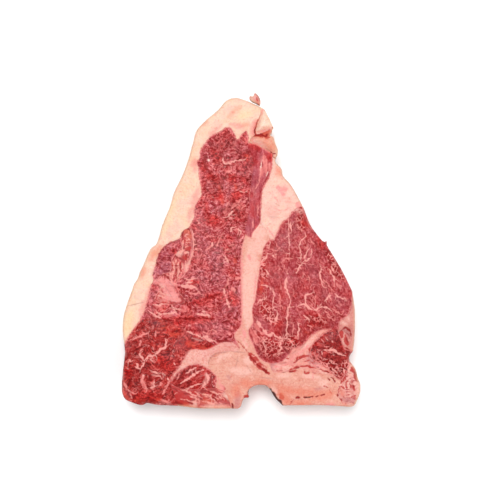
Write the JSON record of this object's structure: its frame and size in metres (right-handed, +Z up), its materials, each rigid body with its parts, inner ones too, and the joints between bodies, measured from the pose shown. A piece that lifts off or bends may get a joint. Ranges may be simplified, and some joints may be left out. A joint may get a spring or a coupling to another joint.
{
  "type": "raw porterhouse steak",
  "caption": "Thick raw porterhouse steak: strip loin and tenderloin either side of a T bone, with a cap of creamy fat.",
  "frame": {"origin": "centre of the bounding box, on the lower cut face that the steak lies on", "axes": "+Y from the sawn chine edge to the narrow end of the steak, +X from the fat cap to the tenderloin, +Z up out of the shown cut face"},
  "size_m": [0.1735, 0.2292, 0.0413],
  "materials": {
    "lean": "wet",
    "dark_lean": "wet",
    "cap_fat": "waxy",
    "pink_fat": "waxy",
    "bone": "sawn, damp"
  },
  "bodies": {
    "root": {"t_bone": "bone", "strip_loin": "lean", "rib_muscle": "dark_lean", "belly_muscle": "dark_lean", "web_fat": "pink_fat", "sirloin_tip": "dark_lean", "band_fat": "pink_fat", "back_muscle": "dark_lean", "chine_trim": "pink_fat", "flank_strip": "lean", "loin_fat": "pink_fat", "tenderloin": "lean", "seam_fat": "pink_fat", "side_muscle": "dark_lean", "edge_fat": "pink_fat", "gristle_bulb": "pink_fat", "fat_cap": "cap_fat", "fold_upper": "cap_fat", "fold_lower": "cap_fat", "meat_flake": "pink_fat"}
  },
  "joints": []
}
